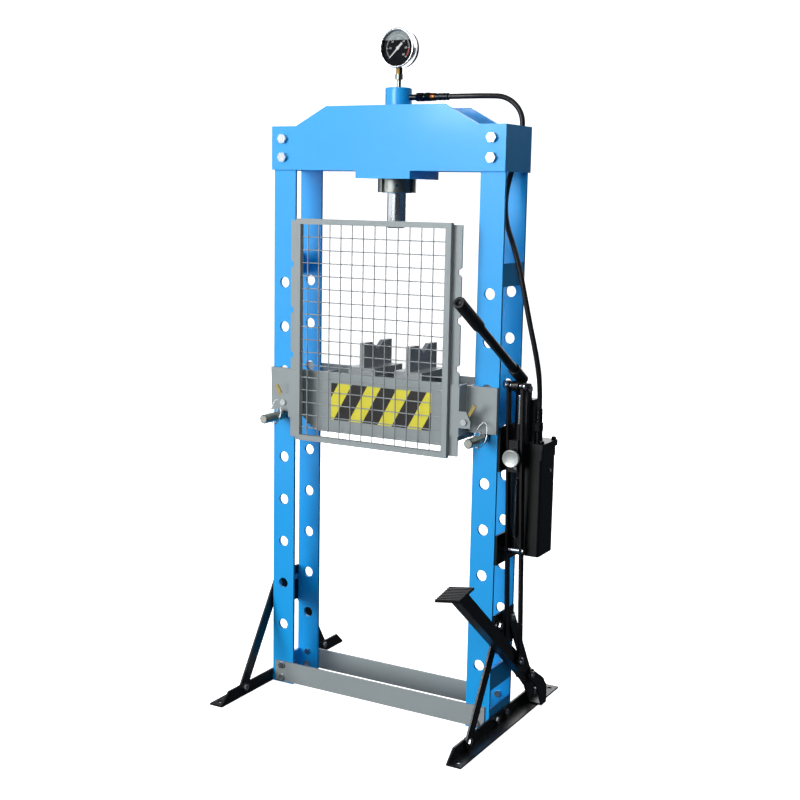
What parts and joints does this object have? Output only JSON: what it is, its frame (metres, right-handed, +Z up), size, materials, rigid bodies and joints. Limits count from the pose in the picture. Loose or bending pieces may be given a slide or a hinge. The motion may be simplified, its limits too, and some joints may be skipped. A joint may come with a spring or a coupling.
{
  "type": "hydraulic shop press",
  "caption": "Floor-standing hydraulic press: column frame with a ram in the head, a pinned bed with V-blocks, a sliding mesh guard, a dial gauge and a hand and foot pump.",
  "frame": {"origin": "floor level at the middle of the four floor-bolt holes", "axes": "+X to the pump side, +Y to the back, +Z up"},
  "size_m": [0.848, 0.7273, 1.8642],
  "materials": {
    "blue_paint": "gloss blue paint",
    "grey_paint": "satin grey paint",
    "black_paint": "satin black paint",
    "zinc": "bright zinc plate",
    "turned_steel": "turned steel",
    "chrome": "bright chrome",
    "brass": "brass",
    "dial": "printed dial",
    "pointer": "white paint",
    "glass": "clear glass",
    "rubber": "black rubber"
  },
  "bodies": {
    "frame": {"post_front_left": "blue_paint", "post_front_right": "blue_paint", "post_rear_left": "blue_paint", "post_rear_right": "blue_paint", "tie_plates": "blue_paint", "head_plate_front": "blue_paint", "head_plate_rear": "blue_paint", "head_end_plates": "blue_paint", "seat_plate": "blue_paint", "head_bolts": "zinc", "base_rail_front": "grey_paint", "base_rail_rear": "grey_paint", "foot_left": "black_paint", "foot_right": "black_paint", "braces": "black_paint", "frame_bolts": "zinc", "cylinder": "blue_paint", "ring_nut": "turned_steel", "gland": "turned_steel", "gauge_case": "chrome", "gauge_dial": "dial", "gauge_glass": "glass", "gauge_stem": "brass", "gauge_coupling": "turned_steel", "hose_fitting_cap": "turned_steel", "hose_fitting_pump": "turned_steel", "hose": "rubber", "tank": "black_paint", "tank_lid": "black_paint", "pump_body": "black_paint", "pump_brackets": "black_paint", "pedal_bracket": "black_paint", "pivot_pins": "zinc", "return_spring": "zinc"},
    "ram": {"ram": "chrome"},
    "gauge_pointer": {"gauge_pointer": "pointer"},
    "release_knob": {"release_knob": "chrome"},
    "hand_lever": {"rocker": "black_paint", "lever_tube": "black_paint", "lever_grip": "rubber", "link_axle": "zinc"},
    "links": {"link_bars": "zinc", "link_spreader": "zinc"},
    "pedal": {"pedal_lever": "black_paint", "pedal_tread": "black_paint", "pedal_link_bolt": "zinc"},
    "plunger": {"plunger": "chrome"},
    "bed": {"bed_plate_front": "grey_paint", "bed_plate_rear": "grey_paint", "bed_spacers": "grey_paint", "v_blocks": "turned_steel", "guard_sleeves": "grey_paint", "latch_bolts": "zinc"},
    "guard": {"guard_frame": "grey_paint", "guard_mesh": "zinc", "guard_guides": "grey_paint"},
    "latch_left": {"latch_left": "brass"},
    "latch_right": {"latch_right": "brass"},
    "pin_left": {"bed_pin_left": "turned_steel"},
    "pin_right": {"bed_pin_right": "turned_steel"}
  },
  "joints": [
    {"name": "ram_travel", "type": "slide", "parent": "frame", "child": "ram", "axis": [0, 0, -1], "range_m": [0, 0.15], "stiffness_N_per_m": 800, "springref_m": -0.12},
    {"name": "gauge_sweep", "type": "hinge", "parent": "frame", "child": "gauge_pointer", "pos_m": [0, -0.01, 1.8122], "axis": [0, 1, 0], "range_deg": [0, 270], "stiffness_Nm_per_rad": 0.002, "springref_deg": -17.19},
    {"name": "release_turn", "type": "hinge", "parent": "frame", "child": "release_knob", "pos_m": [0.388, -0.05, 0.753], "axis": [0, 1, 0], "range_deg": [0, 180]},
    {"name": "lever_stroke", "type": "hinge", "parent": "frame", "child": "hand_lever", "pos_m": [0.388, 0.013, 0.929], "axis": [1, 0, 0], "range_deg": [0, 30], "stiffness_Nm_per_rad": 14, "springref_deg": -51.57, "deforming": ["return_spring"]},
    {"name": "link_swing", "type": "hinge", "parent": "hand_lever", "child": "links", "pos_m": [0.388, -0.04013, 0.94324], "axis": [1, 0, 0], "range_deg": [-32, 0]},
    {"name": "pedal_stroke", "type": "hinge", "parent": "frame", "child": "pedal", "pos_m": [0.388, 0.084, 0.122], "axis": [1, 0, 0], "range_deg": [0, 18.5]},
    {"name": "plunger_stroke", "type": "slide", "parent": "frame", "child": "plunger", "axis": [0, 0, -1], "range_m": [0, 0.0115]},
    {"name": "bed_lift", "type": "slide", "parent": "frame", "child": "bed", "axis": [0, 0, 1], "range_m": [0, 0.125]},
    {"name": "guard_slide", "type": "slide", "parent": "bed", "child": "guard", "axis": [0, 0, 1], "range_m": [-0.375, 0.125]},
    {"name": "latch_turn_left", "type": "hinge", "parent": "bed", "child": "latch_left", "pos_m": [-0.282, -0.119, 0.848], "axis": [0, -1, 0], "range_deg": [0, 20]},
    {"name": "latch_turn_right", "type": "hinge", "parent": "bed", "child": "latch_right", "pos_m": [0.282, -0.119, 0.848], "axis": [0, 1, 0], "range_deg": [0, 20]},
    {"name": "pin_pull_left", "type": "slide", "parent": "frame", "child": "pin_left", "axis": [0, -1, 0], "range_m": [0, 0.17]},
    {"name": "pin_pull_right", "type": "slide", "parent": "frame", "child": "pin_right", "axis": [0, -1, 0], "range_m": [0, 0.17]}
  ],
  "couplings": [
    {"joint": "link_swing", "follows": "lever_stroke", "ratio": -1.04},
    {"joint": "pedal_stroke", "follows": "lever_stroke", "ratio": 0.605},
    {"joint": "plunger_stroke", "follows": "lever_stroke", "m_per_rad": 0.021493}
  ]
}
